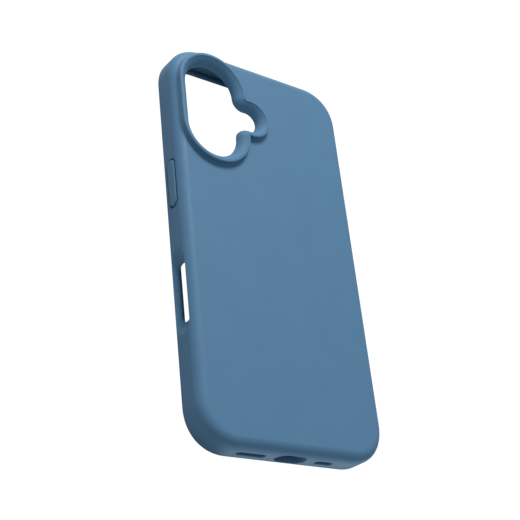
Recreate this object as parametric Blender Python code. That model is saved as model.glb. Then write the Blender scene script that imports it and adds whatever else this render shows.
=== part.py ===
"""Slim protective phone case with a soft skin, a rigid frame, a lining, sprung keys and a magnet ring.

The case lies on the flat rim round its screen opening, with its back up.
Origin: middle of the outline, on the plane of that rim.
+X is to the right as the back is seen, +Y towards the camera end, +Z out of the back.
"""

from math import acos, cos, pi, sin, sqrt

import bmesh
import bpy
from mathutils import Matrix

MM = 0.001

# The phone that the case is made for
PHONE_WIDTH = 71.6 * MM
PHONE_LENGTH = 147.6 * MM
PHONE_THICKNESS = 7.8 * MM
PHONE_CORNER_RADIUS = 12.45 * MM
PHONE_CLEARANCE = 0.20 * MM

# Layers of the wall and of the back
LINING_THICKNESS = 0.25 * MM
LINING_MARGIN = 0.90 * MM  # from the lining's edge to the phone's side
FRAME_WALL = 1.10 * MM
FRAME_BACK = 0.75 * MM
SKIN_WALL = 1.00 * MM
SKIN_BACK = 0.65 * MM
BOND_GAP = 0.25 * MM  # glue line between pieces that are bonded to each other

# The lip that holds the phone in and keeps its glass off the table
LIP_HEIGHT = 1.05 * MM
LIP_OVERLAP = 1.60 * MM  # how far the lip reaches over the phone's face
LIP_BEVEL = 0.60 * MM

# Rounding
CORNER_PROFILE = 0.5325  # a little squarer than a circle: a superellipse of exponent 2.2
CORNER_SEGMENTS = 10
BACK_EDGE_RADIUS = 0.4872 * PHONE_THICKNESS  # leaves the keys on the flat part of the wall
BACK_EDGE_SEGMENTS = 5
FRONT_EDGE_RADIUS = 1.50 * MM
FRONT_EDGE_SEGMENTS = 3

# Camera opening: an upright pill with a round lobe for the flash, inside a raised guard
CAMERA_FROM_LEFT = 13.75 * MM  # phone's side to the middle of the pill
CAMERA_FROM_TOP = 22.95 * MM
PILL_HALF_WIDTH = 10.65 * MM
PILL_HALF_LENGTH = 19.15 * MM
LOBE_FROM_PILL = 15.90 * MM
LOBE_RADIUS = 4.35 * MM
NECK_RADIUS = 4.30 * MM  # where the pill runs into the lobe
SHARPEST_NECK = 0.10 * MM
GUARD_HEIGHT = 2.00 * MM  # above the back
GUARD_STRAIGHT = 1.00 * MM  # upright part of the opening's wall, above the phone
GUARD_FLARE = 2.90 * MM  # how much the opening widens from there to the rim
GUARD_RIM = 0.95 * MM
GUARD_DRAFT = 0.10 * MM
COLLAR_WALL = 0.80 * MM  # skin that turns down through frame and lining

# Keys: a cap in a window of the skin, a flange behind the skin, and a stem through the frame
KEY_CAP_WIDTH = 4.20 * MM
KEY_PROUD = 0.40 * MM
KEY_ROUNDING = 0.40 * MM
KEY_ROUNDING_STEPS = 3
KEY_GROOVE = 0.50 * MM  # round the cap
KEY_TRAVEL = 0.35 * MM
TRAVEL_CLEARANCE = 0.10 * MM
FLANGE_OVERLAP = 0.50 * MM  # how far the flange reaches behind the skin
FLANGE_THICKNESS = 0.35 * MM
FLANGE_CLEARANCE = 0.25 * MM
STEM_WIDTH = 2.40 * MM
STEM_SHORTER = 3.20 * MM  # than the cap
STEM_CLEARANCE = 0.30 * MM
# name: (side, cap length, phone's top edge to the middle of the key)
KEYS = {
    "power_key": (-1, 18.2 * MM, 55.2 * MM),
    "action_key": (1, 8.6 * MM, 33.0 * MM),
    "volume_up_key": (1, 11.4 * MM, 47.6 * MM),
    "volume_down_key": (1, 11.4 * MM, 62.6 * MM),
}

# Finger scoop and slot over the touch control, in the left wall
SLOT_FROM_TOP = 96.4 * MM
SLOT_LENGTH = 21.4 * MM
SLOT_WIDTH = 5.2 * MM
SCOOP_LENGTH = 31.0 * MM
SCOOP_WIDTH = 7.6 * MM
SCOOP_DEPTH = 1.60 * MM
SLOT_COLLAR_LENGTH = 26.4 * MM  # skin that lines the slot, in a notch of the frame
SLOT_COLLAR_WIDTH = 6.8 * MM

# Openings in the bottom wall. name: (middle from the centre line, length, width)
PORTS = {
    "speaker_port": (-16.0 * MM, 11.6 * MM, 2.6 * MM),
    "charging_port": (0.0, 12.2 * MM, 6.2 * MM),
    "microphone_port": (13.9 * MM, 7.4 * MM, 2.6 * MM),
}
WINDOW_MARGIN = 0.30 * MM  # an opening in the frame is this much wider than the skin's

# Magnets, each in a window of the frame's back
MAGNET_COUNT = 18
RING_OUTER_RADIUS = 27.4 * MM
RING_INNER_RADIUS = 23.2 * MM
RING_BELOW_GUARD = 3.9 * MM
MAGNET_SPACING = 1.1 * MM
MAGNET_CLEARANCE = 0.25 * MM
BAR_WIDTH = 5.6 * MM
BAR_LENGTH = 16.0 * MM
BAR_BELOW_RING = 6.5 * MM

# Heights above the rim, from the sizes above
SEAT_Z = LIP_HEIGHT + PHONE_THICKNESS
EDGE_MIDDLE_Z = LIP_HEIGHT + PHONE_THICKNESS / 2
FRAME_BACK_Z = SEAT_Z + LINING_THICKNESS + BOND_GAP
FRAME_TOP_Z = FRAME_BACK_Z + FRAME_BACK
SKIN_BACK_Z = FRAME_TOP_Z + BOND_GAP
CASE_HEIGHT = SKIN_BACK_Z + SKIN_BACK
RIM_Z = CASE_HEIGHT + GUARD_HEIGHT

# Distances outside the phone
FRAME_MARGIN = PHONE_CLEARANCE + FRAME_WALL
SKIN_MARGIN = FRAME_MARGIN + BOND_GAP
CASE_MARGIN = SKIN_MARGIN + SKIN_WALL
CASE_HALF_WIDTH = PHONE_WIDTH / 2 + CASE_MARGIN
CASE_HALF_LENGTH = PHONE_LENGTH / 2 + CASE_MARGIN

# Depths in a wall, from its outer face at 0
SKIN_FACE = -SKIN_WALL
FRAME_FACE = SKIN_FACE - BOND_GAP
POCKET_FACE = FRAME_FACE - FRAME_WALL

# Places on the back
PHONE_TOP_Y = PHONE_LENGTH / 2
PILL_X = CAMERA_FROM_LEFT - PHONE_WIDTH / 2
PILL_Y = PHONE_TOP_Y - CAMERA_FROM_TOP
GUARD_REACH = GUARD_FLARE + GUARD_RIM
RING_Y = PILL_Y - PILL_HALF_LENGTH - GUARD_REACH - RING_BELOW_GUARD - RING_OUTER_RADIUS
BAR_Y = RING_Y - RING_OUTER_RADIUS - BAR_BELOW_RING - BAR_LENGTH / 2

# Steps in the arcs
PILL_STEPS = 14
LOBE_STEPS = 12
NECK_STEPS = 5
SECTOR_STEPS = 3
CIRCLE_SEGMENTS = 28

OVERRUN = 1.0 * MM  # how far a cutter runs past what it cuts
CROSSING = 0.10 * MM  # how deep joined shapes run into each other
WELD = 0.0001 * MM
SMOOTH_ANGLE = pi / 6


def new_collection(name):
    collection = bpy.data.collections.new(name)
    bpy.context.scene.collection.children.link(collection)
    return collection


def new_material(name, color, roughness, metallic=0.0):
    material = bpy.data.materials.new(name)
    material.use_nodes = True
    shader = material.node_tree.nodes["Principled BSDF"]
    shader.inputs["Base Color"].default_value = (*color, 1.0)
    shader.inputs["Roughness"].default_value = roughness
    shader.inputs["Metallic"].default_value = metallic
    return material


for old in list(bpy.data.objects):
    bpy.data.objects.remove(old)
case = new_collection("phone_case")
cutters = new_collection("cutters")
skin_blue = new_material("skin_blue", (0.105, 0.209, 0.342), 0.60)
frame_blue = new_material("frame_blue", (0.056, 0.115, 0.195), 0.45)
lining_blue = new_material("lining_blue", (0.070, 0.142, 0.235), 0.95)
magnet_nickel = new_material("magnet_nickel", (0.62, 0.61, 0.59), 0.30, 1.0)


def add_solid(bm, name, material=None):
    """Make an object of a finished bmesh: a part if it has a material, otherwise a cutter."""
    bmesh.ops.recalc_face_normals(bm, faces=bm.faces)
    mesh = bpy.data.meshes.new(name)
    bm.to_mesh(mesh)
    bm.free()
    solid = bpy.data.objects.new(name, mesh)
    if material:
        mesh.materials.append(material)
        mesh.shade_smooth()
        mesh.set_sharp_from_angle(angle=SMOOTH_ANGLE)
        case.objects.link(solid)
    else:
        solid.display_type = "WIRE"
        solid.hide_render = True
        cutters.objects.link(solid)
    return solid


def combine(solid, operation, *others):
    for other in others:
        modifier = solid.modifiers.new(other.name, "BOOLEAN")
        modifier.operation = operation
        modifier.object = other
        modifier.solver = "EXACT"


def bevel(bm, edges, radius, segments, profile=0.5):
    bmesh.ops.bevel(
        bm, geom=edges, offset=radius, segments=segments, profile=profile, affect="EDGES", clamp_overlap=True
    )


def rounded_box(name, margin, low, high, back=None, front=None, material=None):
    """A box that stands margin outside the phone all round and has the phone's corners.

    back and front are the (radius, segments) of the rounding at its high and low ends.
    """
    bm = bmesh.new()
    size = (PHONE_WIDTH + 2 * margin, PHONE_LENGTH + 2 * margin, high - low, 1)
    middle = Matrix.Translation((0, 0, (low + high) / 2))
    bmesh.ops.create_cube(bm, size=1.0, matrix=middle @ Matrix.Diagonal(size))
    upright = [edge for edge in bm.edges if abs(edge.verts[0].co.z - edge.verts[1].co.z) > WELD]
    bevel(bm, upright, PHONE_CORNER_RADIUS + margin, CORNER_SEGMENTS, CORNER_PROFILE)
    for level, rounding in ((high, back), (low, front)):
        if rounding:
            rim = [edge for edge in bm.edges if all(abs(v.co.z - level) < WELD for v in edge.verts)]
            bevel(bm, rim, *rounding)
    return add_solid(bm, name, material)


def pill(name, levels, material=None):
    """A convex solid along Z with round ends; levels are (length, width, height)."""
    bm = bmesh.new()
    for length, width, height in levels:
        for end in (-1, 1):
            center = Matrix.Translation((end * (length - width) / 2, 0, height))
            bmesh.ops.create_circle(bm, segments=CIRCLE_SEGMENTS, radius=width / 2, matrix=center)
    hull = bmesh.ops.convex_hull(bm, input=bm.verts)
    inside = {item for item in hull["geom_interior"] if isinstance(item, bmesh.types.BMVert)}
    bmesh.ops.delete(bm, geom=list(inside), context="VERTS")
    loose = [edge for edge in bm.edges if not edge.link_faces]
    bmesh.ops.delete(bm, geom=loose, context="EDGES")
    bmesh.ops.dissolve_limit(bm, angle_limit=SMOOTH_ANGLE / 100, verts=bm.verts, edges=bm.edges)
    return add_solid(bm, name, material)


def flat_plate(name, outline, low, high, material=None):
    """An outline with a thickness: a filled curve, extruded both ways and made a mesh."""
    curve = bpy.data.curves.new(name, "CURVE")
    curve.dimensions = "2D"
    curve.fill_mode = "BOTH"
    curve.extrude = (high - low) / 2
    spline = curve.splines.new("POLY")
    spline.points.add(len(outline) - 1)
    for point, (x, y) in zip(spline.points, outline):
        point.co = (x, y, 0, 1)
    spline.use_cyclic_u = True
    source = bpy.data.objects.new(f"{name}_curve", curve)
    cutters.objects.link(source)
    evaluated = source.evaluated_get(bpy.context.evaluated_depsgraph_get())
    mesh = bpy.data.meshes.new_from_object(evaluated)
    bm = bmesh.new()
    bm.from_mesh(mesh)
    bpy.data.objects.remove(source)
    bpy.data.meshes.remove(mesh)
    bmesh.ops.remove_doubles(bm, verts=bm.verts, dist=WELD)
    bmesh.ops.translate(bm, vec=(0, 0, (low + high) / 2), verts=bm.verts)
    return add_solid(bm, name, material)


def loft(name, sections):
    """A cutter or joined shape through outlines of equally many points, each at its own height."""
    bm = bmesh.new()
    rings = [[bm.verts.new((x, y, height)) for x, y in outline] for outline, height in sections]
    count = len(rings[0])
    for lower, upper in zip(rings, rings[1:]):
        for i in range(count):
            j = (i + 1) % count
            bm.faces.new((lower[i], lower[j], upper[j], upper[i]))
    bm.faces.new(rings[0])
    bm.faces.new(rings[-1])
    return add_solid(bm, name)


def arc(center, radius, start, end, steps):
    """Points along an arc, both ends included."""
    angles = [start + (end - start) * i / steps for i in range(steps + 1)]
    return [(center[0] + radius * cos(angle), center[1] + radius * sin(angle)) for angle in angles]


def camera_outline(grow):
    """The camera opening, made wider by grow on every side, always with as many points."""
    half_width = PILL_HALF_WIDTH + grow
    end_y = PILL_HALF_LENGTH - PILL_HALF_WIDTH
    lobe_x = PILL_X + LOBE_FROM_PILL
    lobe = LOBE_RADIUS + grow
    neck = max(NECK_RADIUS - grow, SHARPEST_NECK)
    neck_x = PILL_X + half_width + neck
    neck_y = sqrt((lobe + neck) ** 2 - (neck_x - lobe_x) ** 2)
    lean = acos((neck_x - lobe_x) / (lobe + neck))
    upper_end = arc((PILL_X, PILL_Y + end_y), half_width, 0, pi, PILL_STEPS)
    lower_end = arc((PILL_X, PILL_Y - end_y), half_width, pi, 2 * pi, PILL_STEPS)
    lower_neck = arc((neck_x, PILL_Y - neck_y), neck, pi, pi - lean, NECK_STEPS)
    lobe_end = arc((lobe_x, PILL_Y), lobe, -lean, lean, LOBE_STEPS)[1:-1]
    upper_neck = arc((neck_x, PILL_Y + neck_y), neck, pi + lean, pi, NECK_STEPS)
    return upper_end + lower_end + lower_neck + lobe_end + upper_neck


def ring_sector(inner, outer, start, end):
    """A piece of a flat ring, round the middle of the magnet ring."""
    center = (0.0, RING_Y)
    return arc(center, outer, start, end, SECTOR_STEPS) + arc(center, inner, end, start, SECTOR_STEPS)


def rectangle(width, length, y):
    return [
        (-width / 2, y - length / 2),
        (width / 2, y - length / 2),
        (width / 2, y + length / 2),
        (-width / 2, y + length / 2),
    ]


def stand_on_side(solid, side, y):
    """Turn a solid's +Z out of the left (-1) or right (1) wall, from the wall's outer face."""
    solid.location = (side * CASE_HALF_WIDTH, y, EDGE_MIDDLE_Z)
    solid.rotation_euler = (pi / 2, 0, side * pi / 2)


def stand_on_bottom(solid, x):
    """Turn a solid's +Z out of the bottom wall, from the wall's outer face."""
    solid.location = (x, -CASE_HALF_LENGTH, EDGE_MIDDLE_Z)
    solid.rotation_euler = (pi / 2, 0, 0)


def make_skin():
    """The soft outer layer, with the lip in front and the camera guard on the back."""
    skin = rounded_box(
        "outer_skin",
        CASE_MARGIN,
        0,
        CASE_HEIGHT,
        back=(BACK_EDGE_RADIUS, BACK_EDGE_SEGMENTS),
        front=(FRONT_EDGE_RADIUS, FRONT_EDGE_SEGMENTS),
        material=skin_blue,
    )
    inside_rounding = (BACK_EDGE_RADIUS - SKIN_WALL, BACK_EDGE_SEGMENTS)
    inside = rounded_box("skin_inside", SKIN_MARGIN, LIP_HEIGHT, SKIN_BACK_Z, back=inside_rounding)
    screen = rounded_box("screen_opening", -LIP_OVERLAP, -OVERRUN, LIP_HEIGHT + CROSSING)
    slope = rounded_box(
        "lip_slope",
        LIP_BEVEL - LIP_OVERLAP,
        LIP_HEIGHT - LIP_BEVEL - CROSSING,
        LIP_HEIGHT + OVERRUN,
        front=(LIP_BEVEL + CROSSING, 1),
    )
    collar = flat_plate("collar", camera_outline(COLLAR_WALL), SEAT_Z, SKIN_BACK_Z + 2 * CROSSING)
    guard = loft(
        "guard",
        [
            (camera_outline(GUARD_REACH + GUARD_DRAFT), SKIN_BACK_Z + CROSSING),
            (camera_outline(GUARD_REACH), RIM_Z),
        ],
    )
    straight_z = SEAT_Z + GUARD_STRAIGHT
    slope_past_rim = GUARD_FLARE * CROSSING / (RIM_Z - straight_z)
    camera_hole = loft(
        "camera_hole",
        [
            (camera_outline(0), SEAT_Z - OVERRUN),
            (camera_outline(0), straight_z),
            (camera_outline(GUARD_FLARE + slope_past_rim), RIM_Z + CROSSING),
        ],
    )
    combine(skin, "DIFFERENCE", inside, screen, slope)
    combine(skin, "UNION", collar, guard)
    combine(skin, "DIFFERENCE", camera_hole)
    return skin


def make_frame():
    """The rigid layer between the skin and the phone."""
    frame_rounding = BACK_EDGE_RADIUS - SKIN_WALL - BOND_GAP
    frame = rounded_box(
        "inner_frame",
        FRAME_MARGIN,
        LIP_HEIGHT + BOND_GAP,
        FRAME_TOP_Z,
        back=(frame_rounding, BACK_EDGE_SEGMENTS),
        material=frame_blue,
    )
    pocket_rounding = (frame_rounding - FRAME_WALL, BACK_EDGE_SEGMENTS)
    pocket = rounded_box("phone_pocket", PHONE_CLEARANCE, 0, FRAME_BACK_Z, back=pocket_rounding)
    combine(frame, "DIFFERENCE", pocket)
    return frame


def make_lining():
    """The soft sheet that the phone's back lies on."""
    top = SEAT_Z + LINING_THICKNESS
    return rounded_box("microfibre_lining", -LINING_MARGIN, SEAT_Z, top, material=lining_blue)


def cut_collar_hole(frame, lining):
    """Let the skin's collar through the frame and the lining."""
    outline = camera_outline(COLLAR_WALL + BOND_GAP)
    hole = flat_plate("collar_hole", outline, SEAT_Z - OVERRUN, FRAME_TOP_Z + OVERRUN)
    combine(frame, "DIFFERENCE", hole)
    combine(lining, "DIFFERENCE", hole)


def cut_slot(skin, frame):
    """The scoop in the left wall and the slot at its foot, which the skin lines."""
    y = PHONE_TOP_Y - SLOT_FROM_TOP
    longer = (SCOOP_LENGTH - SLOT_LENGTH) * CROSSING / SCOOP_DEPTH
    wider = (SCOOP_WIDTH - SLOT_WIDTH) * CROSSING / SCOOP_DEPTH
    collar_size = (SLOT_COLLAR_LENGTH, SLOT_COLLAR_WIDTH)
    collar = pill("slot_collar", [(*collar_size, POCKET_FACE), (*collar_size, SKIN_FACE + CROSSING)])
    scoop = pill(
        "scoop",
        [(SLOT_LENGTH, SLOT_WIDTH, -SCOOP_DEPTH), (SCOOP_LENGTH + longer, SCOOP_WIDTH + wider, CROSSING)],
    )
    slot = pill("slot", through_wall(SLOT_LENGTH, SLOT_WIDTH))
    notch = pill("frame_notch", through_wall(*collar_size, BOND_GAP))
    notch_foot = pill("frame_notch_foot", through_wall(*collar_size, BOND_GAP))
    for solid in (collar, scoop, slot, notch, notch_foot):
        stand_on_side(solid, -1, y)
    notch_foot.location.z = LIP_HEIGHT + BOND_GAP  # opens the notch at the frame's front edge
    combine(skin, "UNION", collar)
    combine(skin, "DIFFERENCE", slot, scoop)
    combine(frame, "DIFFERENCE", notch, notch_foot)


def through_wall(length, width, margin=0.0):
    """Pill levels for a cut through the whole wall."""
    size = (length + 2 * margin, width + 2 * margin)
    return [(*size, POCKET_FACE - OVERRUN), (*size, OVERRUN)]


def cut_ports(skin, frame):
    for name, (x, length, width) in PORTS.items():
        skin_port = pill(f"skin_{name}", through_wall(length, width))
        frame_port = pill(f"frame_{name}", through_wall(length, width, WINDOW_MARGIN))
        for piece, port in ((skin, skin_port), (frame, frame_port)):
            stand_on_bottom(port, x)
            combine(piece, "DIFFERENCE", port)


def make_key(name, side, cap_length, from_top, skin, frame):
    """One key: cap, flange and stem in one piece, with its window and its pocket."""

    def levels(longer, wider, low, high):
        return [(cap_length + longer, KEY_CAP_WIDTH + wider, height) for height in (low, high)]

    flange_margin = 2 * (KEY_GROOVE + FLANGE_OVERLAP)
    pocket_margin = flange_margin + 2 * FLANGE_CLEARANCE
    flange_floor = FRAME_FACE - FLANGE_THICKNESS
    pocket_floor = flange_floor - KEY_TRAVEL - TRAVEL_CLEARANCE
    joined_at = (flange_floor + FRAME_FACE) / 2
    stem_length = cap_length - STEM_SHORTER
    hole_length = stem_length + 2 * STEM_CLEARANCE
    hole_width = STEM_WIDTH + 2 * STEM_CLEARANCE

    cap_levels = [(cap_length, KEY_CAP_WIDTH, joined_at)]
    for i in range(KEY_ROUNDING_STEPS + 1):
        turn = pi / 2 * i / KEY_ROUNDING_STEPS
        inset = 2 * KEY_ROUNDING * (1 - cos(turn))
        height = KEY_PROUD - KEY_ROUNDING * (1 - sin(turn))
        cap_levels.append((cap_length - inset, KEY_CAP_WIDTH - inset, height))
    key = pill(name, cap_levels, skin_blue)
    flange = pill(f"{name}_flange", levels(flange_margin, flange_margin, flange_floor, FRAME_FACE))
    stem = pill(
        f"{name}_stem",
        [(stem_length, STEM_WIDTH, POCKET_FACE), (stem_length, STEM_WIDTH, joined_at)],
    )
    window = pill(f"{name}_window", levels(2 * KEY_GROOVE, 2 * KEY_GROOVE, SKIN_FACE - CROSSING, OVERRUN))
    pocket = pill(f"{name}_pocket", levels(pocket_margin, pocket_margin, pocket_floor, OVERRUN))
    hole = pill(
        f"{name}_hole",
        [(hole_length, hole_width, POCKET_FACE - OVERRUN), (hole_length, hole_width, FRAME_FACE)],
    )
    for solid in (key, flange, stem, window, pocket, hole):
        stand_on_side(solid, side, PHONE_TOP_Y - from_top)
    combine(key, "UNION", flange, stem)
    combine(skin, "DIFFERENCE", window)
    combine(frame, "DIFFERENCE", pocket, hole)


def make_magnets(frame):
    """The ring of magnets and the upright bar below it, level with the frame's back."""
    pitch = 2 * pi / MAGNET_COUNT
    spacing_angle = MAGNET_SPACING / (RING_INNER_RADIUS + RING_OUTER_RADIUS)
    clearance_angle = spacing_angle * 2 * MAGNET_CLEARANCE / MAGNET_SPACING
    outlines = {}
    for i in range(MAGNET_COUNT):
        start = i * pitch + spacing_angle
        end = (i + 1) * pitch - spacing_angle
        outlines[f"ring_magnet_{i + 1:02d}"] = (
            ring_sector(RING_INNER_RADIUS, RING_OUTER_RADIUS, start, end),
            ring_sector(
                RING_INNER_RADIUS - MAGNET_CLEARANCE,
                RING_OUTER_RADIUS + MAGNET_CLEARANCE,
                start - clearance_angle,
                end + clearance_angle,
            ),
        )
    outlines["alignment_magnet"] = (
        rectangle(BAR_WIDTH, BAR_LENGTH, BAR_Y),
        rectangle(BAR_WIDTH + 2 * MAGNET_CLEARANCE, BAR_LENGTH + 2 * MAGNET_CLEARANCE, BAR_Y),
    )
    for name, (outline, window_outline) in outlines.items():
        flat_plate(name, outline, FRAME_BACK_Z, FRAME_TOP_Z, magnet_nickel)
        window = flat_plate(
            f"{name}_window", window_outline, FRAME_BACK_Z - OVERRUN, FRAME_TOP_Z + OVERRUN
        )
        combine(frame, "DIFFERENCE", window)


outer_skin = make_skin()
inner_frame = make_frame()
microfibre_lining = make_lining()
cut_collar_hole(inner_frame, microfibre_lining)
cut_slot(outer_skin, inner_frame)
cut_ports(outer_skin, inner_frame)
for key_name, (key_side, key_length, key_from_top) in KEYS.items():
    make_key(key_name, key_side, key_length, key_from_top, outer_skin, inner_frame)
make_magnets(inner_frame)
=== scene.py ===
from math import acos, cos, pi, radians, sin, sqrt

import bmesh
import bpy
from mathutils import Euler, Matrix, Vector


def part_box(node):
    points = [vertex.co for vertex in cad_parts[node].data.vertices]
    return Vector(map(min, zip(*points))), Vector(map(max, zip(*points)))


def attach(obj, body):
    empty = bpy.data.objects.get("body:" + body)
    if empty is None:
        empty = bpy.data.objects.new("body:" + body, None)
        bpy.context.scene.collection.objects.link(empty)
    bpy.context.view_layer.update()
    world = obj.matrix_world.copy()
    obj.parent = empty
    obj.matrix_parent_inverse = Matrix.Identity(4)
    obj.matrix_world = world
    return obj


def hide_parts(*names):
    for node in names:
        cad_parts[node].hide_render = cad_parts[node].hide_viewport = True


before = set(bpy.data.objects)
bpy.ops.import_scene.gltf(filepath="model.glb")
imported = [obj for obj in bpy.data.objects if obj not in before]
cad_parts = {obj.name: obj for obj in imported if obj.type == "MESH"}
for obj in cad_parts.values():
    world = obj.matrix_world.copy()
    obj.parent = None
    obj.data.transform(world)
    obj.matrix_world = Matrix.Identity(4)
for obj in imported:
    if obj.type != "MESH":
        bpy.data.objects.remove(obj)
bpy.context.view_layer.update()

mm = 0.001  # shapes are built in millimetres and scaled once, when they are finished
weldDistance = 0.0008  # points closer than this become one
pastFace = 1.5  # how far a cutter stands out of the face that it cuts
pastInside = 1.0  # and how far it reaches into the hollow inside


def boxOf(node):
    low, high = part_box(node)
    return low / mm, high / mm


skinHigh = boxOf("outer_skin")[1]
frameLow, frameHigh = boxOf("inner_frame")
liningLow, liningHigh = boxOf("microfibre_lining")

# Meshes, and how they are finished


def meshFrom(bm, name):
    mesh = bpy.data.meshes.new(name)
    bm.to_mesh(mesh)
    bm.free()
    return mesh


def linked(name, mesh):
    piece = bpy.data.objects.new(name, mesh)
    bpy.context.scene.collection.objects.link(piece)
    return piece


def ringSolid(name, rings, loop=False):
    # A closed solid through rings of equally many points; loop joins the last ring to the first
    bm = bmesh.new()
    rows = [[bm.verts.new(point) for point in ring] for ring in rings]
    count = len(rows[0])
    pairs = list(zip(rows, rows[1:]))
    if loop:
        pairs.append((rows[-1], rows[0]))
    for low, high in pairs:
        for i in range(count):
            j = (i + 1) % count
            bm.faces.new((low[i], low[j], high[j], high[i]))
    if not loop:
        bm.faces.new(rows[0])
        bm.faces.new(rows[-1])
    bmesh.ops.recalc_face_normals(bm, faces=bm.faces)
    return linked(name, meshFrom(bm, name))


def combined(piece, steps):
    # Runs (operation, solid) steps on a piece, and keeps the result as its mesh
    for operation, other in steps:
        modifier = piece.modifiers.new(other.name, "BOOLEAN")
        modifier.operation = operation
        modifier.object = other
        modifier.solver = "EXACT"
    evaluated = piece.evaluated_get(bpy.context.evaluated_depsgraph_get())
    mesh = bpy.data.meshes.new_from_object(evaluated)
    piece.modifiers.clear()
    piece.data = mesh
    for other in {other for _, other in steps}:
        bpy.data.objects.remove(other)
    return piece


def finishedPiece(piece, material, smoothAngle=35):
    bm = bmesh.new()
    bm.from_mesh(piece.data)
    bmesh.ops.remove_doubles(bm, verts=bm.verts, dist=weldDistance)
    bmesh.ops.dissolve_degenerate(bm, edges=bm.edges, dist=weldDistance)
    bmesh.ops.transform(bm, matrix=Matrix.Scale(mm, 4), verts=bm.verts)
    bm.to_mesh(piece.data)
    bm.free()
    piece.data.materials.clear()
    piece.data.materials.append(material)
    piece.data.shade_smooth()
    piece.data.set_sharp_from_angle(angle=radians(smoothAngle))
    weighted = piece.modifiers.new("weightedNormals", "WEIGHTED_NORMAL")
    weighted.keep_sharp = True
    weighted.weight = 100
    return piece


def camelName(node):
    first, *rest = node.split("_")
    return first + "".join(word.capitalize() for word in rest)


# The case's outline, which every layer follows at its own inset
caseShape = {
    "halfWidth": skinHigh.x,
    "halfLength": skinHigh.y,
    "cornerRadius": 15.0,
    "cornerExponent": 2.2,  # a little squarer than a circle
    "cornerSteps": 22,
    "backHeight": skinHigh.z - 2.0,
    "rimHeight": skinHigh.z,
    "backRounding": 3.8,
    "frontRounding": 1.5,
    "middleHeight": 4.95,  # keys, slot and ports lie on this line
}


def caseOutline(inset, height):
    # The case's outline, inset millimetres inside its outer side
    radius = caseShape["cornerRadius"] - inset
    power = 2 / caseShape["cornerExponent"]
    steps = caseShape["cornerSteps"]
    centerX = caseShape["halfWidth"] - caseShape["cornerRadius"]
    centerY = caseShape["halfLength"] - caseShape["cornerRadius"]
    points = []
    for quarter, (signX, signY) in enumerate(((1, 1), (-1, 1), (-1, -1), (1, -1))):
        for i in range(steps + 1):
            turn = pi / 2 * i / steps
            across, along = cos(turn), sin(turn)
            if quarter % 2:
                across, along = along, across
            across = max(across, 0) ** power
            along = max(along, 0) ** power
            points.append(
                (signX * (centerX + radius * across), signY * (centerY + radius * along), height)
            )
    return points


def quarterRing(centerInset, centerHeight, radius, startTurn, endTurn, steps):
    # (inset, height) pairs along an arc of the wall's section; turn 0 points outwards, 90 up
    pairs = []
    for i in range(steps + 1):
        turn = radians(startTurn + (endTurn - startTurn) * i / steps)
        pairs.append((centerInset - radius * cos(turn), centerHeight + radius * sin(turn)))
    return pairs


def backHeightAt(x, y):
    # Height of the case's outer surface above a point of the back
    radius = caseShape["cornerRadius"]
    outX = abs(x) - (caseShape["halfWidth"] - radius)
    outY = abs(y) - (caseShape["halfLength"] - radius)
    if outX > 0 and outY > 0:
        power = caseShape["cornerExponent"]
        inset = radius - (outX**power + outY**power) ** (1 / power)
    else:
        inset = radius - max(outX, outY)
    rounding = caseShape["backRounding"]
    if inset >= rounding:
        return caseShape["backHeight"]
    drop = max(rounding - inset, 0)
    return caseShape["backHeight"] - rounding + sqrt(max(rounding**2 - drop**2, 0))


# The camera opening: an upright pill and a round lobe for the flash
cameraShape = {
    "pillX": -22.05,
    "pillY": 50.85,
    "halfWidth": 10.65,
    "halfLength": 19.15,
    "lobeOffset": 15.9,
    "lobeRadius": 4.35,
    "neckRadius": 4.3,
    "sharpestNeck": 0.35,
    "pillSteps": 36,
    "lobeSteps": 26,
    "neckSteps": 12,
}


def arcPoints(x, y, radius, start, end, steps):
    turns = [start + (end - start) * i / steps for i in range(steps + 1)]
    return [(x + radius * cos(turn), y + radius * sin(turn)) for turn in turns]


def cameraOutline(grow):
    s = cameraShape
    halfWidth = s["halfWidth"] + grow
    endY = s["halfLength"] - s["halfWidth"]
    lobeX = s["pillX"] + s["lobeOffset"]
    lobe = s["lobeRadius"] + grow
    neck = max(s["neckRadius"] - grow, s["sharpestNeck"])
    neckX = s["pillX"] + halfWidth + neck
    neckY = sqrt((lobe + neck) ** 2 - (neckX - lobeX) ** 2)
    lean = acos((neckX - lobeX) / (lobe + neck))
    upper = arcPoints(s["pillX"], s["pillY"] + endY, halfWidth, 0, pi, s["pillSteps"])
    lower = arcPoints(s["pillX"], s["pillY"] - endY, halfWidth, pi, 2 * pi, s["pillSteps"])
    lowerNeck = arcPoints(neckX, s["pillY"] - neckY, neck, pi, pi - lean, s["neckSteps"])
    lobeEnd = arcPoints(lobeX, s["pillY"], lobe, -lean, lean, s["lobeSteps"])[1:-1]
    upperNeck = arcPoints(neckX, s["pillY"] + neckY, neck, pi + lean, pi, s["neckSteps"])
    return upper + lower + lowerNeck + lobeEnd + upperNeck


def cameraCutter(name, grow, heights):
    return ringSolid(name, [[(x, y, height) for x, y in cameraOutline(grow)] for height in heights])


# Pills, which keys, slot and ports are made of


def pillRing(length, width, depth, steps=16):
    radius = width / 2
    middle = length / 2 - radius
    right = arcPoints(middle, 0, radius, -pi / 2, pi / 2, steps)
    left = arcPoints(-middle, 0, radius, pi / 2, 3 * pi / 2, steps)
    return [(x, y, depth) for x, y in right + left]


def pillSolid(name, length, width, levels):
    # A pill along Z; levels are (growth all round, depth)
    return ringSolid(name, [pillRing(length + 2 * g, width + 2 * g, depth) for g, depth in levels])


def outOfSide(piece, side, y):
    turn = Euler((pi / 2, 0, side * pi / 2)).to_matrix().to_4x4()
    place = Matrix.Translation((side * caseShape["halfWidth"], y, caseShape["middleHeight"]))
    piece.data.transform(place @ turn)
    return piece


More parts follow.
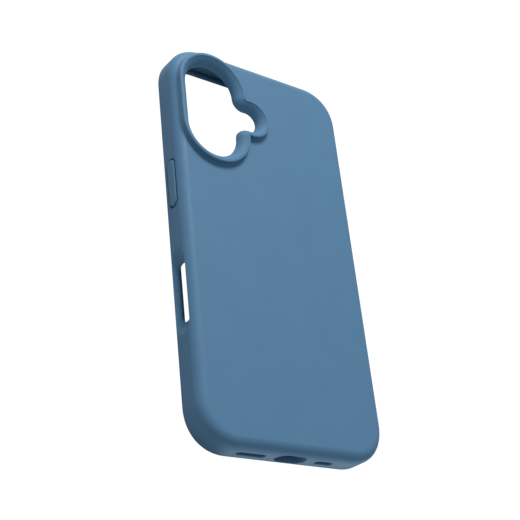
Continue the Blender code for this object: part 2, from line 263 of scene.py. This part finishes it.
def outOfBottom(piece, x):
    turn = Euler((pi / 2, 0, 0)).to_matrix().to_4x4()
    place = Matrix.Translation((x, -caseShape["halfLength"], caseShape["middleHeight"]))
    piece.data.transform(place @ turn)
    return piece


def roundedMouth(edge, depth, steps=5, lastTurn=78):
    # Levels of a cutter whose hole has a rounded edge of that radius at the outer face
    levels = [(0, -depth)]
    for i in range(steps + 1):
        turn = radians(lastTurn * i / steps)
        levels.append((edge * (1 - cos(turn)), edge * (sin(turn) - 1)))
    levels += [(edge, 0.03), (edge, pastFace)]
    return levels


# The soft outer skin
skinShape = {
    "wall": 1.0,
    "back": 0.65,
    "lipReach": 4.15,  # outer side to the screen opening
    "lipHeight": 1.05,
    "lipBevel": 0.6,
    "lipEdge": 0.25,
    "sleeveRoot": 0.2,  # how far a sleeve reaches into the wall that it grows from
    "backSteps": 14,
    "frontSteps": 8,
}


def skinSection():
    s, c = skinShape, caseShape
    back, front = c["backRounding"], c["frontRounding"]
    outer = quarterRing(back, c["backHeight"] - back, back, 90, 0, s["backSteps"])
    outer += quarterRing(front, front, front, 0, -90, s["frontSteps"])
    lipEdge = s["lipEdge"]
    lip = []
    for turn in (0, pi / 6, pi / 3, pi / 2):
        lip.append((s["lipReach"] - lipEdge + lipEdge * sin(turn), lipEdge - lipEdge * cos(turn)))
    bevelLow = s["lipHeight"] - s["lipBevel"]
    lip += [(s["lipReach"], bevelLow), (s["lipReach"] - s["lipBevel"], s["lipHeight"])]
    inside = back - s["wall"]
    ceiling = c["backHeight"] - s["back"]
    inner = [(s["wall"], s["lipHeight"])]
    inner += quarterRing(back, ceiling - inside, inside, 0, 90, s["backSteps"])
    return outer + lip + inner


# The guard that stands up round the camera opening
guardShape = {
    "seat": liningLow.z,  # where the collar ends, level with the lining
    "seatEdge": 0.03,
    "seatGrow": 0.02,
    "flare": 2.9,  # how much the opening widens from the collar's end to the rim
    "flareCurve": 2.2,  # 1 is a straight cone; more keeps the foot of the wall upright
    "rim": 0.95,
    "draft": 0.1,
    "wallSteps": 16,
    "innerEdge": 0.65,  # rounding of the rim's inner edge
    "outerEdge": 0.42,
    "foot": 0.5,  # hollow rounding where the guard meets the back
    "footSteps": 8,
    "collar": 0.8,
    "skirt": 0.1,  # what reaches past the foot, under the back's surface
    "bury": 0.55,
    "hole": 0.72,  # hole in the back that the guard fills
    "cutHeights": (8.0, 14.0),  # from the hollow inside to above the back
}


def guardRings():
    g, c = guardShape, caseShape
    rim = c["rimHeight"]
    rise = rim - g["seat"]
    rings = []

    def plain(grow, height):
        rings.append([(x, y, height) for x, y in cameraOutline(grow)])

    def onBack(grow, above):
        rings.append([(x, y, backHeightAt(x, y) + above) for x, y in cameraOutline(grow)])

    plain(g["seatGrow"], g["seat"])
    seatEdge = g["seatEdge"]
    flareTop = rim - 0.9 * g["innerEdge"]
    for i in range(g["wallSteps"] + 1):
        share = (seatEdge + (flareTop - g["seat"] - seatEdge) * i / g["wallSteps"]) / rise
        wallGrow = g["flare"] * share ** g["flareCurve"]
        plain(wallGrow, g["seat"] + share * rise)
    for turn in (25, 50, 72, 90):
        t = radians(turn)
        plain(
            wallGrow + g["innerEdge"] * (0.15 + 0.85 * sin(t)),
            flareTop + (rim - flareTop) * sin(t),
        )
    outerGrow = g["flare"] + g["rim"]
    for turn in (90, 70, 50, 30, 12, 0):
        t = radians(turn)
        plain(outerGrow - g["outerEdge"] * (1 - cos(t)), rim - g["outerEdge"] * (1 - sin(t)))
    footGrow = outerGrow + g["draft"]
    for i in range(g["footSteps"] + 1):
        t = pi / 2 * i / g["footSteps"]
        onBack(footGrow + g["foot"] * (1 - cos(t)), 0.004 + g["foot"] * (1 - sin(t)))
    footEnd = footGrow + g["foot"]
    onBack(footEnd + g["skirt"], -0.02)
    onBack(footEnd + g["skirt"] / 2, -g["bury"])
    for share in (0.8, 0.6, 0.4, 0.2):
        onBack(g["collar"] + (footEnd - g["collar"]) * share, -g["bury"])
    onBack(g["collar"], -g["bury"])
    plain(g["collar"], g["seat"])
    return rings


# The slot in the left wall, its finger scoop, and the collar that lines it
slotShape = {
    "y": -22.6,
    "length": 21.4,
    "width": 5.2,
    "scoopLength": 31.0,
    "scoopWidth": 7.6,
    "scoopDepth": 1.6,
    "throatTurn": 0.2,  # height of the soft turn out of the throat
    "slopeCurve": 1.15,
    "edge": 0.12,  # rounding of the scoop's outer edge
    "collarLength": 26.4,
    "collarWidth": 6.8,
    "gap": 0.25,  # from the collar to the frame
    "endGap": 0.02,  # from the collar's end to the frame's inner face
}


def scoopCutter(inner):
    # Throat, a hollow slope up to the wall, and a rounded outer edge
    s = slotShape
    growLength = (s["scoopLength"] - s["length"]) / 2
    growWidth = (s["scoopWidth"] - s["width"]) / 2
    rings = []

    def level(share, depth):
        length = s["length"] + 2 * growLength * share
        width = s["width"] + 2 * growWidth * share
        rings.append(pillRing(length, width, depth))

    depth, edge, turn = s["scoopDepth"], s["edge"], s["throatTurn"]
    level(0, -inner - pastInside)
    level(0, -depth - turn)
    for share in (0.02, 0.06, 0.13, 0.22):
        level(share, -depth - turn + turn * (share / 0.22) + depth * max(share - 0.04, 0))
    for share in (0.45, 0.7, 0.9):
        level(share, -depth * (1 - share) ** s["slopeCurve"])
    level(0.985, -0.5 * edge)
    level(1.0, 0.0)
    level(1.0, pastFace)
    return ringSolid("scoop", rings)


# Middle from the centre line, length and width of each port
portShapes = {
    "speakerPort": (-16.0, 11.6, 2.6),
    "chargingPort": (0.0, 12.2, 6.2),
    "microphonePort": (13.9, 7.4, 2.6),
}
portFinish = {"edge": 0.3, "sleeve": 0.22, "gap": 0.26, "endGap": 0.05}


def makeSkin(material):
    s, wall = slotShape, skinShape["wall"]
    root = -wall + skinShape["sleeveRoot"]
    inner = frameShape["inset"] + frameShape["wall"]
    skin = ringSolid("outerSkin", [caseOutline(inset, height) for inset, height in skinSection()])

    cut = cameraCutter("cameraCut", guardShape["hole"], guardShape["cutHeights"])
    steps = [("DIFFERENCE", cut)]
    steps.append(("UNION", ringSolid("guard", guardRings(), loop=True)))

    levels = [(0, -inner + s["endGap"]), (0, root)]
    sleeve = pillSolid("slotSleeve", s["collarLength"], s["collarWidth"], levels)
    steps.append(("UNION", outOfSide(sleeve, -1, s["y"])))
    steps.append(("DIFFERENCE", outOfSide(scoopCutter(inner), -1, s["y"])))

    rim = portFinish["sleeve"]
    for name, (x, length, width) in portShapes.items():
        levels = [(rim, -inner + portFinish["endGap"]), (rim, root)]
        sleeve = pillSolid(f"{name}Sleeve", length, width, levels)
        levels = roundedMouth(portFinish["edge"], inner + pastInside)
        hole = pillSolid(f"{name}Hole", length, width, levels)
        steps.append(("UNION", outOfBottom(sleeve, x)))
        steps.append(("DIFFERENCE", outOfBottom(hole, x)))

    groove = 2 * keyShape["groove"]
    for node, side in keySides.items():
        length, width = capSize(node)
        levels = roundedMouth(keyShape["windowEdge"], wall + 0.1)
        window = pillSolid(f"{camelName(node)}Window", length + groove, width + groove, levels)
        steps.append(("DIFFERENCE", outOfSide(window, side, keyMiddle(node))))
    return finishedPiece(combined(skin, steps), material)


# The rigid frame behind the skin
frameShape = {
    "inset": skinHigh.x - frameHigh.x,
    "wall": 1.1,
    "low": frameLow.z,
    "high": frameHigh.z,
    "back": 0.75,
    "frontEdge": 0.12,
    "insideEdge": 0.25,
    "collarGap": 0.12,
    "cutHeights": (8.0, 12.0),
    "steps": 10,
}


def frameSection():
    f, c = frameShape, caseShape
    outerRounding = c["backRounding"] - f["inset"]
    innerRounding = outerRounding - f["wall"]
    inside = f["inset"] + f["wall"]
    floor = f["high"] - f["back"]
    outerMiddle = (f["inset"] + outerRounding, f["high"] - outerRounding)
    section = quarterRing(*outerMiddle, outerRounding, 90, 0, f["steps"])
    edge = f["frontEdge"]
    section += [(f["inset"], f["low"] + edge), (f["inset"] + edge, f["low"])]
    edge = f["insideEdge"]
    section += [(inside - edge, f["low"])]
    section += [(inside - 0.28 * edge, f["low"] + 0.28 * edge), (inside, f["low"] + edge)]
    innerMiddle = (inside + innerRounding, floor - innerRounding)
    section += quarterRing(*innerMiddle, innerRounding, 0, 90, f["steps"])
    return section


def makeFrame(material):
    f, s, k = frameShape, slotShape, keyShape
    inside = f["inset"] + f["wall"]
    rings = [caseOutline(inset, height) for inset, height in frameSection()]
    piece = ringSolid("innerFrame", rings)
    holeGrow = guardShape["collar"] + f["collarGap"]
    steps = [("DIFFERENCE", cameraCutter("collarHole", holeGrow, f["cutHeights"]))]

    # The notch round the slot's collar, and its foot through the front edge
    for name, lower in (("notch", 0), ("notchFoot", caseShape["middleHeight"] - f["low"])):
        levels = [(s["gap"], -inside - pastInside), (s["gap"], 0)]
        notch = outOfSide(pillSolid(name, s["collarLength"], s["collarWidth"], levels), -1, s["y"])
        notch.data.transform(Matrix.Translation((0, 0, -lower)))
        steps.append(("DIFFERENCE", notch))

    for name, (x, length, width) in portShapes.items():
        levels = [(portFinish["gap"], -inside - pastInside), (portFinish["gap"], 0)]
        hole = pillSolid(f"{name}Frame", length, width, levels)
        steps.append(("DIFFERENCE", outOfBottom(hole, x)))

    pocketGrow = k["groove"] + k["flange"] + k["pocketClearance"]
    pocketFloor = f["inset"] + k["flangeThickness"] + k["travel"]
    for node, side in keySides.items():
        length, width = capSize(node)
        levels = [(pocketGrow, -pocketFloor), (pocketGrow, 0)]
        pocket = pillSolid(f"{camelName(node)}Pocket", length, width, levels)
        grow, stemLength = k["stemClearance"], length - k["stemShorter"]
        levels = [(grow, -inside - pastInside), (grow, -f["inset"])]
        stem = pillSolid(f"{camelName(node)}Hole", stemLength, k["stemWidth"], levels)
        for cutter in (pocket, stem):
            steps.append(("DIFFERENCE", outOfSide(cutter, side, keyMiddle(node))))
    return finishedPiece(combined(piece, steps), material)


# Keys, and the side that each is on
keyShape = {
    "groove": 0.5,
    "windowEdge": 0.36,
    "capEdge": 0.42,
    "capEdgeTurn": 82,  # degrees of that edge before the crown starts
    "capEdgeSteps": 7,
    "capRoot": 0.15,  # a small hollow where the cap leaves the flange
    "crown": 0.12,
    "crownSteps": 6,
    "proud": 0.4,
    "flange": 0.5,
    "flangeThickness": 0.35,
    "flangeEdge": 0.08,
    "ridge": 0.08,  # half the width of the crown's flat top
    "stemWidth": 2.4,
    "stemShorter": 3.2,  # than the cap
    "stemEdge": 0.15,
    "pocketClearance": 0.25,
    "stemClearance": 0.3,
    "travel": 0.45,
}
keySides = {"power_key": -1, "action_key": 1, "volume_up_key": 1, "volume_down_key": 1}


def keyMiddle(node):
    low, high = boxOf(node)
    return (low.y + high.y) / 2


def capSize(node):
    low, high = boxOf(node)
    margin = 2 * (keyShape["groove"] + keyShape["flange"])
    return high.y - low.y - margin, high.z - low.z - margin


def makeKey(node, side, material):
    k = keyShape
    length, width = capSize(node)
    stem, stemWidth, stemEdge = length - k["stemShorter"], k["stemWidth"], k["stemEdge"]
    inner = frameShape["inset"] + frameShape["wall"]
    flangeTop = -frameShape["inset"]
    flangeFloor = flangeTop - k["flangeThickness"]
    flangeGrow, flangeEdge = k["groove"] + k["flange"], k["flangeEdge"]
    rings = [pillRing(stem - 2 * stemEdge, stemWidth - 2 * stemEdge, -inner)]
    rings.append(pillRing(stem, stemWidth, -inner + stemEdge))
    rings.append(pillRing(stem, stemWidth, flangeFloor))
    for grow, depth in (
        (flangeGrow - flangeEdge, flangeFloor),
        (flangeGrow, flangeFloor + flangeEdge),
        (flangeGrow, flangeTop - flangeEdge),
        (flangeGrow - flangeEdge, flangeTop),
        (k["capRoot"], flangeTop),
        (0.04, flangeTop + 0.04),
        (0, flangeTop + k["capRoot"]),
    ):
        rings.append(pillRing(length + 2 * grow, width + 2 * grow, depth))
    edge = k["capEdge"]
    shoulder = k["proud"] - k["crown"]
    for i in range(k["capEdgeSteps"] + 1):
        turn = radians(k["capEdgeTurn"] * i / k["capEdgeSteps"])
        inset = edge * (1 - cos(turn))
        height = shoulder - edge * (1 - sin(turn))
        rings.append(pillRing(length - 2 * inset, width - 2 * inset, height))
    reach = width / 2 - k["ridge"]
    for i in range(1, k["crownSteps"] + 1):  # crowned top, up to a short ridge
        share = i / k["crownSteps"]
        inset = edge + (reach - edge) * share
        height = shoulder + k["crown"] * (1 - (1 - share) ** 2)
        rings.append(pillRing(length - 2 * inset, width - 2 * inset, height))
    key = outOfSide(ringSolid(camelName(node), rings), side, keyMiddle(node))
    return finishedPiece(key, material)


# The lining, a thin flat sheet round the camera's collar
liningShape = {"edge": 0.06, "collarGap": 0.15}


def makeLining(material):
    inset, edge = skinHigh.x - liningHigh.x, liningShape["edge"]
    low, high = liningLow.z, liningHigh.z
    section = [(inset + edge, high), (inset, high - edge), (inset, low + edge), (inset + edge, low)]
    sheet = ringSolid("microfibreLining", [caseOutline(i, height) for i, height in section])
    holeGrow = guardShape["collar"] + liningShape["collarGap"]
    hole = cameraCutter("liningHole", holeGrow, (low - 1, high + 1))
    return finishedPiece(combined(sheet, [("DIFFERENCE", hole)]), material)


# The magnets: a ring of arcs, and an upright bar below it
magnetShape = {
    "count": 18,
    "inner": 23.2,
    "outer": 27.4,
    "spacing": 1.1,
    "edge": 0.09,
    "arcSteps": 6,
    "ringY": -3.45,
    "barCorner": 0.35,
}


def magnetOutline(inset):
    # One magnet of the ring, round the ring's middle
    m = magnetShape
    half = pi / m["count"] - m["spacing"] / (m["inner"] + m["outer"])
    far, near = m["outer"] - inset, m["inner"] + inset
    outer = arcPoints(0, 0, far, -half + inset / far, half - inset / far, m["arcSteps"])
    inner = arcPoints(0, 0, near, half - inset / near, -half + inset / near, m["arcSteps"])
    return outer + inner


def softEdged(outline, low, high, edge):
    # Rings of a plate with a small rounding along its top and bottom edges
    levels = [(edge, low), (0.3 * edge, low + 0.3 * edge), (0, low + edge)]
    levels += [(0, high - edge), (0.3 * edge, high - 0.3 * edge), (edge, high)]
    return [[(x, y, height) for x, y in outline(inset)] for inset, height in levels]


def ringTree(material):
    # Geometry nodes: the mesh that comes in, Count times round Centre
    tree = bpy.data.node_groups.new("magnetRing", "GeometryNodeTree")
    sockets = tree.interface
    sockets.new_socket("Geometry", in_out="INPUT", socket_type="NodeSocketGeometry")
    sockets.new_socket("Count", in_out="INPUT", socket_type="NodeSocketInt")
    sockets.new_socket("Centre", in_out="INPUT", socket_type="NodeSocketVector")
    sockets.new_socket("Geometry", in_out="OUTPUT", socket_type="NodeSocketGeometry")
    nodes, links = tree.nodes, tree.links
    given = nodes.new("NodeGroupInput")
    points = nodes.new("GeometryNodePoints")
    links.new(given.outputs["Count"], points.inputs["Count"])
    links.new(given.outputs["Centre"], points.inputs["Position"])
    step = nodes.new("ShaderNodeMath")
    step.operation = "DIVIDE"
    step.inputs[0].default_value = 2 * pi
    links.new(given.outputs["Count"], step.inputs[1])
    turn = nodes.new("ShaderNodeMath")
    turn.operation = "MULTIPLY_ADD"  # half a step further, so that a gap lies on the centre line
    half = nodes.new("ShaderNodeMath")
    half.operation = "MULTIPLY"
    half.inputs[1].default_value = 0.5
    links.new(step.outputs[0], half.inputs[0])
    index = nodes.new("GeometryNodeInputIndex")
    links.new(index.outputs["Index"], turn.inputs[0])
    links.new(step.outputs[0], turn.inputs[1])
    links.new(half.outputs[0], turn.inputs[2])
    about = nodes.new("ShaderNodeCombineXYZ")
    links.new(turn.outputs[0], about.inputs["Z"])
    placed = nodes.new("GeometryNodeInstanceOnPoints")
    links.new(points.outputs[0], placed.inputs["Points"])
    links.new(given.outputs["Geometry"], placed.inputs["Instance"])
    links.new(about.outputs[0], placed.inputs["Rotation"])
    real = nodes.new("GeometryNodeRealizeInstances")
    links.new(placed.outputs[0], real.inputs[0])
    coated = nodes.new("GeometryNodeSetMaterial")
    coated.inputs["Material"].default_value = material
    links.new(real.outputs[0], coated.inputs["Geometry"])
    result = nodes.new("NodeGroupOutput")
    links.new(coated.outputs[0], result.inputs["Geometry"])
    return tree


def makeMagnetRing(material):
    m = magnetShape
    low, high = boxOf("ring_magnet_01")
    piece = ringSolid("magnetRing", softEdged(magnetOutline, low.z, high.z, m["edge"]))
    modifier = piece.modifiers.new("ring", "NODES")
    modifier.node_group = ringTree(material)
    keys = {
        item.name: item.identifier
        for item in modifier.node_group.interface.items_tree
        if item.in_out == "INPUT"
    }
    modifier[keys["Count"]] = m["count"]
    modifier[keys["Centre"]] = (0, m["ringY"], 0)
    evaluated = piece.evaluated_get(bpy.context.evaluated_depsgraph_get())
    mesh = bpy.data.meshes.new_from_object(evaluated)
    piece.modifiers.clear()
    piece.data = mesh
    return finishedPiece(piece, material)


def makeAlignmentMagnet(material):
    low, high = boxOf("alignment_magnet")
    corner = magnetShape["barCorner"]

    def bar(inset):
        sides = ((low.x, low.y), (high.x, low.y), (high.x, high.y), (low.x, high.y))
        corners = []
        for number, (x, y) in enumerate(sides):
            centerX = x + (corner if x < 0 else -corner)
            centerY = y + (corner if y == low.y else -corner)
            start = pi + number * pi / 2
            corners += arcPoints(centerX, centerY, corner - inset, start, start + pi / 2, 4)
        return corners

    piece = ringSolid("alignmentMagnet", softEdged(bar, low.z, high.z, magnetShape["edge"]))
    return finishedPiece(piece, material)


# Materials


def groupTree(name, inputs, outputs):
    tree = bpy.data.node_groups.new(name, "ShaderNodeTree")
    for label, value in inputs.items():
        socket = tree.interface.new_socket(label, in_out="INPUT", socket_type="NodeSocketFloat")
        socket.default_value = value
    for label in outputs:
        tree.interface.new_socket(label, in_out="OUTPUT", socket_type="NodeSocketFloat")
    return tree, tree.nodes.new("NodeGroupInput"), tree.nodes.new("NodeGroupOutput")


def noiseOf(tree, size, detail, coordinates):
    # Noise whose features are about as big as the size socket says, in millimetres
    scale = tree.nodes.new("ShaderNodeMath")
    scale.operation = "DIVIDE"
    scale.inputs[0].default_value = 1000.0
    tree.links.new(size, scale.inputs[1])
    noise = tree.nodes.new("ShaderNodeTexNoise")
    noise.inputs["Detail"].default_value = detail
    tree.links.new(coordinates, noise.inputs["Vector"])
    tree.links.new(scale.outputs[0], noise.inputs["Scale"])
    return noise.outputs["Fac"]


def mapped(tree, value, fromLow, fromHigh, toLow, toHigh):
    node = tree.nodes.new("ShaderNodeMapRange")
    limits = {"From Min": fromLow, "From Max": fromHigh, "To Min": toLow, "To Max": toHigh}
    for label, number in limits.items():
        if hasattr(number, "is_linked"):
            tree.links.new(number, node.inputs[label])
        else:
            node.inputs[label].default_value = number
    tree.links.new(value, node.inputs["Value"])
    return node.outputs["Result"]


def grainGroup():
    # Fine grain as a height, and broad cloudiness as a mask
    tree, given, result = groupTree(
        "surfaceGrain", {"Grain Size": 0.2, "Cloud Size": 9.0}, ("Height", "Cloud")
    )
    place = tree.nodes.new("ShaderNodeTexCoord").outputs["Object"]
    fine = noiseOf(tree, given.outputs["Grain Size"], 3.0, place)
    broad = noiseOf(tree, given.outputs["Cloud Size"], 2.0, place)
    tree.links.new(fine, result.inputs["Height"])
    tree.links.new(mapped(tree, broad, 0.32, 0.68, 0, 1), result.inputs["Cloud"])
    return tree


def wearAndHighlightGroup():
    # Where handling polishes the edges, lightened as wear and as a painted highlight: outward
    # curves, broken up by noise
    tree, given, result = groupTree(
        "edgeWearAndHighlight", {"Start": 0.52, "End": 0.6, "Patch Size": 2.5}, ("Wear",)
    )
    bend = tree.nodes.new("ShaderNodeNewGeometry").outputs["Pointiness"]
    edge = mapped(tree, bend, given.outputs["Start"], given.outputs["End"], 0, 1)
    place = tree.nodes.new("ShaderNodeTexCoord").outputs["Object"]
    noise = noiseOf(tree, given.outputs["Patch Size"], 3.0, place)
    patches = mapped(tree, noise, 0.3, 0.62, 0.35, 1)
    both = tree.nodes.new("ShaderNodeMath")
    both.operation = "MULTIPLY"
    tree.links.new(edge, both.inputs[0])
    tree.links.new(patches, both.inputs[1])
    tree.links.new(both.outputs[0], result.inputs["Wear"])
    return tree


surfaceGrain = grainGroup()
edgeWearAndHighlight = wearAndHighlightGroup()


def shaderOf(name):
    material = bpy.data.materials.new(name)
    material.use_nodes = True
    return material, material.node_tree, material.node_tree.nodes["Principled BSDF"]


def placedGroup(tree, group, values):
    node = tree.nodes.new("ShaderNodeGroup")
    node.node_tree = group
    for label, value in values.items():
        node.inputs[label].default_value = value
    return node


def mixedColor(tree, factor, first, second):
    node = tree.nodes.new("ShaderNodeMix")
    node.data_type = "RGBA"
    for socket, color in ((node.inputs[6], first), (node.inputs[7], second)):
        if hasattr(color, "is_linked"):
            tree.links.new(color, socket)
        else:
            socket.default_value = (*color, 1)
    if factor is not None:
        tree.links.new(factor, node.inputs[0])
    return node.outputs[2]


def grained(name, look):
    # A moulded or finished surface: cloudy colour, worn edges lightened partly by wear and partly
    # as a painted highlight, grain in its relief and its gloss
    material, tree, shader = shaderOf(name)
    sizes = {"Grain Size": look["grain"], "Cloud Size": look["cloud"]}
    grain = placedGroup(tree, surfaceGrain, sizes)
    wear = placedGroup(tree, edgeWearAndHighlight, look.get("wear", {}))
    cloudy = mixedColor(tree, grain.outputs["Cloud"], look["deep"], look["light"])
    worn = mapped(tree, wear.outputs["Wear"], 0, 1, 0, look["wornAndHighlightShare"])
    # Outward edges turn towards the lighter colour: part wear, part painted highlight along the
    # crests
    tree.links.new(mixedColor(tree, worn, cloudy, look["worn"]), shader.inputs["Base Color"])
    gloss = mapped(tree, grain.outputs["Cloud"], 0, 1, *look["roughness"])
    polished = tree.nodes.new("ShaderNodeMath")
    polished.operation = "MULTIPLY_ADD"
    polished.inputs[1].default_value = -look["polish"]
    tree.links.new(wear.outputs["Wear"], polished.inputs[0])
    tree.links.new(gloss, polished.inputs[2])
    tree.links.new(polished.outputs[0], shader.inputs["Roughness"])
    bump = tree.nodes.new("ShaderNodeBump")
    bump.inputs["Strength"].default_value = look["relief"]
    bump.inputs["Distance"].default_value = look["reliefDepth"] * mm
    tree.links.new(grain.outputs["Height"], bump.inputs["Height"])
    tree.links.new(bump.outputs["Normal"], shader.inputs["Normal"])
    shader.inputs["Metallic"].default_value = look.get("metallic", 0)
    shader.inputs["Specular IOR Level"].default_value = look.get("specular", 0.5)
    shader.inputs["Sheen Weight"].default_value = look.get("sheen", 0)
    shader.inputs["Sheen Roughness"].default_value = look.get("sheenRoughness", 0.5)
    shader.inputs["Sheen Tint"].default_value = (*look.get("sheenTint", (1, 1, 1)), 1)
    return material


# Looks: sizes are in millimetres, colours are linear
softSkin = {
    "deep": (0.0880, 0.190, 0.316),
    "light": (0.0915, 0.196, 0.324),
    # Lighter colour of the outward edges: part wear, part painted highlight along the crests
    "worn": (0.120, 0.250, 0.400),
    "wornAndHighlightShare": 0.10,
    "roughness": (0.52, 0.60),
    "polish": 0.06,
    "grain": 0.16,
    "cloud": 11.0,
    "relief": 0.30,
    "reliefDepth": 0.03,
    "specular": 0.26,
    "sheen": 0.05,
    "sheenRoughness": 0.45,
    "sheenTint": (0.60, 0.78, 1.0),
}

softKey = {
    **softSkin,
    "deep": (0.090, 0.196, 0.326),
    "light": (0.094, 0.203, 0.335),
    "roughness": (0.48, 0.56),
    "grain": 0.13,
}

hardPlastic = {
    "deep": (0.050, 0.112, 0.190),
    "light": (0.060, 0.126, 0.212),
    "worn": (0.080, 0.150, 0.230),
    "wornAndHighlightShare": 0.4,
    "roughness": (0.38, 0.48),
    "polish": 0.1,
    "grain": 0.09,
    "cloud": 14.0,
    "relief": 0.2,
    "reliefDepth": 0.02,
}

microfibre = {
    "deep": (0.050, 0.118, 0.205),
    "light": (0.080, 0.168, 0.275),
    "worn": (0.095, 0.190, 0.300),
    "wornAndHighlightShare": 0.5,
    "roughness": (0.88, 0.98),
    "polish": 0.0,
    "grain": 0.22,
    "cloud": 5.0,
    "relief": 0.9,
    "reliefDepth": 0.12,
    "specular": 0.2,
    "sheen": 0.6,
    "sheenRoughness": 0.4,
    "sheenTint": (0.65, 0.80, 1.0),
}

nickelPlate = {
    "deep": (0.54, 0.53, 0.50),
    "light": (0.64, 0.63, 0.60),
    "worn": (0.74, 0.73, 0.70),
    "wornAndHighlightShare": 0.6,
    "roughness": (0.24, 0.36),
    "polish": 0.08,
    "grain": 0.12,
    "cloud": 3.0,
    "relief": 0.15,
    "reliefDepth": 0.01,
    "metallic": 1.0,
}

softTouchBlue = grained("softTouchBlue", softSkin)
keyBlue = grained("keyBlue", softKey)
frameBlue = grained("frameBlue", hardPlastic)
liningBlue = grained("liningBlue", microfibre)
nickel = grained("nickel", nickelPlate)

print("skin")
skin = makeSkin(softTouchBlue)
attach(skin, "case")
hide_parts("outer_skin")

print("frame")
innerFrame = makeFrame(frameBlue)
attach(innerFrame, "case")
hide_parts("inner_frame")

print("keys")
for node, side in keySides.items():
    key = makeKey(node, side, keyBlue)
    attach(key, f"{node}_body")
    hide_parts(node)

print("lining")
lining = makeLining(liningBlue)
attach(lining, "case")
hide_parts("microfibre_lining")

print("magnets")
ring = makeMagnetRing(nickel)
bar = makeAlignmentMagnet(nickel)
for magnet in (ring, bar):
    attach(magnet, "case")
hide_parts(*[f"ring_magnet_{i + 1:02d}" for i in range(magnetShape["count"])])
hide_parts("alignment_magnet")

# Floor and surroundings, in metres; seenAs is how bright the camera sees them
floorLook = {
    "color": (0.5, 0.5, 0.5),
    "roughness": 0.8,
    "reach": 3.0,
    "height": -0.0002,
    "seenAs": 1.05,
}
worldLook = {"color": (0.74, 0.93, 1.0), "strength": 0.42, "seenAs": 1.05}


def makeFloor():
    bm = bmesh.new()
    bmesh.ops.create_grid(bm, x_segments=1, y_segments=1, size=floorLook["reach"])
    floor = linked("floor", meshFrom(bm, "floor"))
    floor.location.z = floorLook["height"]
    material, tree, shader = shaderOf("paleFloor")
    shader.inputs["Base Color"].default_value = (*floorLook["color"], 1)
    shader.inputs["Roughness"].default_value = floorLook["roughness"]
    light = tree.nodes.new("ShaderNodeEmission")
    light.inputs["Strength"].default_value = floorLook["seenAs"]
    path = tree.nodes.new("ShaderNodeLightPath")
    mix = tree.nodes.new("ShaderNodeMixShader")
    tree.links.new(path.outputs["Is Camera Ray"], mix.inputs["Fac"])
    tree.links.new(shader.outputs["BSDF"], mix.inputs[1])
    tree.links.new(light.outputs["Emission"], mix.inputs[2])
    tree.links.new(mix.outputs["Shader"], tree.nodes["Material Output"].inputs["Surface"])
    floor.data.materials.append(material)


def makeWorld():
    world = bpy.data.worlds.new("studio")
    bpy.context.scene.world = world
    world.use_nodes = True
    tree = world.node_tree
    base = tree.nodes["Background"]
    base.inputs["Color"].default_value = (*worldLook["color"], 1)
    base.inputs["Strength"].default_value = worldLook["strength"]
    white = tree.nodes.new("ShaderNodeBackground")
    white.inputs["Color"].default_value = (1, 1, 1, 1)
    white.inputs["Strength"].default_value = worldLook["seenAs"]
    path = tree.nodes.new("ShaderNodeLightPath")
    mix = tree.nodes.new("ShaderNodeMixShader")
    tree.links.new(path.outputs["Is Camera Ray"], mix.inputs["Fac"])
    tree.links.new(base.outputs["Background"], mix.inputs[1])
    tree.links.new(white.outputs["Background"], mix.inputs[2])
    tree.links.new(mix.outputs["Shader"], tree.nodes["World Output"].inputs["Surface"])


# Lamps, in metres and watts
lampLooks = {"keyLight": {"place": (-0.04, 0.90, 0.80), "power": 14.2, "size": 0.45}}
panelHeight = 0.0002  # just above the floor
panelLooks = {
    "underLight": {
        "place": (0, 0),
        "size": (0.067, 0.143),
        "power": 0.009,
        "color": (0.80, 0.95, 1.0),
    },
    "endBounce": {
        "place": (0.017, -0.137),
        "size": (0.085, 0.12),
        "power": 0.027,
        "color": (0.93, 0.89, 0.86),
    },
}


def makeLamp(name, place, power, size):
    lamp = bpy.data.lights.new(name, "AREA")
    lamp.energy = power
    lamp.size = size
    piece = bpy.data.objects.new(name, lamp)
    bpy.context.scene.collection.objects.link(piece)
    piece.location = place
    piece.rotation_euler = (-Vector(place)).to_track_quat("-Z", "Y").to_euler()


def makeFloorPanel(name, place, size, power, color):
    # A bright patch of the floor, which throws light up
    lamp = bpy.data.lights.new(name, "AREA")
    lamp.shape = "RECTANGLE"
    lamp.size, lamp.size_y = size
    lamp.energy = power
    lamp.color = color
    piece = bpy.data.objects.new(name, lamp)
    bpy.context.scene.collection.objects.link(piece)
    piece.location = (*place, panelHeight)
    piece.rotation_euler = (pi, 0, 0)


# The camera: angles in degrees, lens in millimetres, places in metres
cameraPlace = {
    "azimuth": -51.78,
    "elevation": 44.09,
    "roll": 54.84,
    "distance": 0.4136,
    "lens": 79.7,
    "aim": (0.0006, -0.0006, 0.0001),
}


def makeCamera():
    c = cameraPlace
    azimuth, elevation = radians(c["azimuth"]), radians(c["elevation"])
    flat = cos(elevation)
    toward = Vector((sin(azimuth) * flat, -cos(azimuth) * flat, sin(elevation)))
    camera = bpy.data.cameras.new("camera")
    camera.lens = c["lens"]
    camera.clip_start = 0.01
    piece = bpy.data.objects.new("camera", camera)
    bpy.context.scene.collection.objects.link(piece)
    look = (-toward).to_track_quat("-Z", "Y").to_matrix()
    turned = look @ Matrix.Rotation(radians(c["roll"]), 3, "Z")
    place = Vector(c["aim"]) + toward * c["distance"]
    piece.matrix_world = Matrix.Translation(place) @ turned.to_4x4()
    bpy.context.scene.camera = piece


print("floor")
makeFloor()
makeWorld()
print("light")
for name, look in lampLooks.items():
    makeLamp(name, **look)
for name, look in panelLooks.items():
    makeFloorPanel(name, **look)
print("camera")
makeCamera()
bpy.context.scene.view_settings.view_transform = "Standard"
